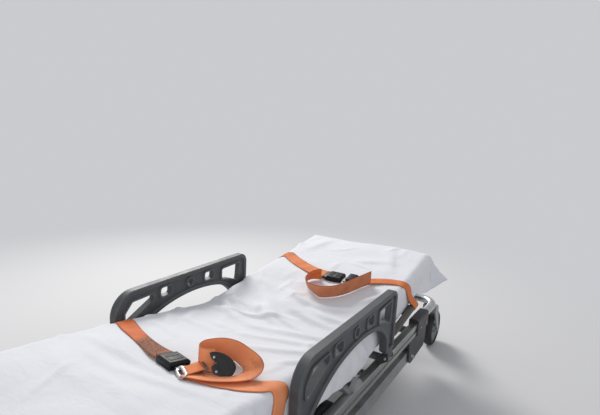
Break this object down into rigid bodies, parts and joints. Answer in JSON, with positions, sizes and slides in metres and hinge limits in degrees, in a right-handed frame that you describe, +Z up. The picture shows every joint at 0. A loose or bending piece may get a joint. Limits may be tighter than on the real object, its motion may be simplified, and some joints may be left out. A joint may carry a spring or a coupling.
{
  "type": "ambulance stretcher",
  "caption": "Self-loading ambulance stretcher, folded low, with sheeted mattress, tilting backrest, fold-down side guards, folding wheeled legs and belts.",
  "frame": {"origin": "middle of the footprint, on the floor under the folded wheels", "axes": "+X to the right looking from foot to head, +Y towards the head end, +Z up"},
  "size_m": [0.604, 2.02, 0.433],
  "materials": {
    "aluminium": "extruded, satin",
    "bright_tube": "polished",
    "dark_tube": "dark grey satin",
    "leg_paint": "silver grey satin",
    "casting": "dark grey matt",
    "panel": "matt",
    "guard_moulding": "satin grey",
    "mattress_cover": "coated cloth",
    "sheet_cotton": "white cotton",
    "webbing": "orange woven",
    "buckle_black": "black",
    "tongue_steel": "bright",
    "grip": "matt black",
    "tyre": "matt black",
    "hub": "grey"
  },
  "bodies": {
    "frame": {"side_rails": "aluminium", "cross_members": "leg_paint", "head_hoop": "bright_tube", "foot_bar": "bright_tube", "foot_grips": "grip", "tube_clamps": "casting", "front_leg_brackets": "casting", "rear_leg_brackets": "casting", "loading_forks": "leg_paint", "leg_deck_frame": "dark_tube", "leg_deck_panel": "panel", "knee_props": "leg_paint", "hip_hinge": "leg_paint", "mattress_leg": "mattress_cover", "mattress_fold": "mattress_cover", "sheet_leg": "sheet_cotton", "sheet_fold": "sheet_cotton", "strap_thigh": "webbing", "buckle_thigh": "buckle_black", "tongue_thigh": "tongue_steel", "thigh_anchors": "casting", "guard_hinge_blocks": "casting"},
    "backrest": {"backrest_frame": "dark_tube", "backrest_panel": "panel", "mattress_back": "mattress_cover", "sheet_back": "sheet_cotton", "strap_chest": "webbing", "buckle_chest": "buckle_black", "tongue_chest": "tongue_steel", "chest_anchors": "casting"},
    "guard_left": {"guard_left": "guard_moulding"},
    "guard_right": {"guard_right": "guard_moulding"},
    "front_legs": {"front_leg_frame": "leg_paint"},
    "rear_legs": {"rear_leg_frame": "leg_paint"},
    "caster_left": {"caster_fork_left": "bright_tube"},
    "caster_right": {"caster_fork_right": "bright_tube"},
    "front_wheel_left": {"front_tyre_left": "tyre", "front_hub_left": "hub"},
    "front_wheel_right": {"front_tyre_right": "tyre", "front_hub_right": "hub"},
    "rear_wheel_left": {"rear_tyre_left": "tyre", "rear_hub_left": "hub"},
    "rear_wheel_right": {"rear_tyre_right": "tyre", "rear_hub_right": "hub"},
    "loading_wheel_left": {"loading_tyre_left": "tyre", "loading_hub_left": "hub"},
    "loading_wheel_right": {"loading_tyre_right": "tyre", "loading_hub_right": "hub"}
  },
  "joints": [
    {"name": "backrest_tilt", "type": "hinge", "parent": "frame", "child": "backrest", "pos_m": [0, 0.126, 0.225], "axis": [1, 0, 0], "range_deg": [-8.5, 66], "deforming": ["mattress_fold", "sheet_fold"]},
    {"name": "guard_left_fold", "type": "hinge", "parent": "frame", "child": "guard_left", "pos_m": [-0.292, 0.061, 0.228], "axis": [0, -1, 0], "range_deg": [0, 180]},
    {"name": "guard_right_fold", "type": "hinge", "parent": "frame", "child": "guard_right", "pos_m": [0.292, 0.061, 0.228], "axis": [0, 1, 0], "range_deg": [0, 180]},
    {"name": "front_legs_fold", "type": "hinge", "parent": "frame", "child": "front_legs", "pos_m": [0, 0.59, 0.1], "axis": [1, 0, 0], "range_deg": [0, 80]},
    {"name": "rear_legs_fold", "type": "hinge", "parent": "frame", "child": "rear_legs", "pos_m": [0, -0.33, 0.1], "axis": [1, 0, 0], "range_deg": [0, 80]},
    {"name": "caster_swivel_left", "type": "hinge", "parent": "rear_legs", "child": "caster_left", "pos_m": [-0.232, -0.92566, 0.05038], "axis": [0, 0.9848, 0.1736], "continuous": true},
    {"name": "front_wheel_spin_left", "type": "hinge", "parent": "front_legs", "child": "front_wheel_left", "pos_m": [-0.225, 0.01, 0.1], "axis": [1, 0, 0], "continuous": true},
    {"name": "rear_wheel_spin_left", "type": "hinge", "parent": "caster_left", "child": "rear_wheel_left", "pos_m": [-0.232, -0.93, 0.075], "axis": [1, 0, 0], "continuous": true},
    {"name": "loading_wheel_spin_left", "type": "hinge", "parent": "frame", "child": "loading_wheel_left", "pos_m": [-0.255, 0.935, 0.075], "axis": [1, 0, 0], "continuous": true},
    {"name": "caster_swivel_right", "type": "hinge", "parent": "rear_legs", "child": "caster_right", "pos_m": [0.232, -0.92566, 0.05038], "axis": [0, 0.9848, 0.1736], "continuous": true},
    {"name": "front_wheel_spin_right", "type": "hinge", "parent": "front_legs", "child": "front_wheel_right", "pos_m": [0.225, 0.01, 0.1], "axis": [1, 0, 0], "continuous": true},
    {"name": "rear_wheel_spin_right", "type": "hinge", "parent": "caster_right", "child": "rear_wheel_right", "pos_m": [0.232, -0.93, 0.075], "axis": [1, 0, 0], "continuous": true},
    {"name": "loading_wheel_spin_right", "type": "hinge", "parent": "frame", "child": "loading_wheel_right", "pos_m": [0.255, 0.935, 0.075], "axis": [1, 0, 0], "continuous": true}
  ]
}
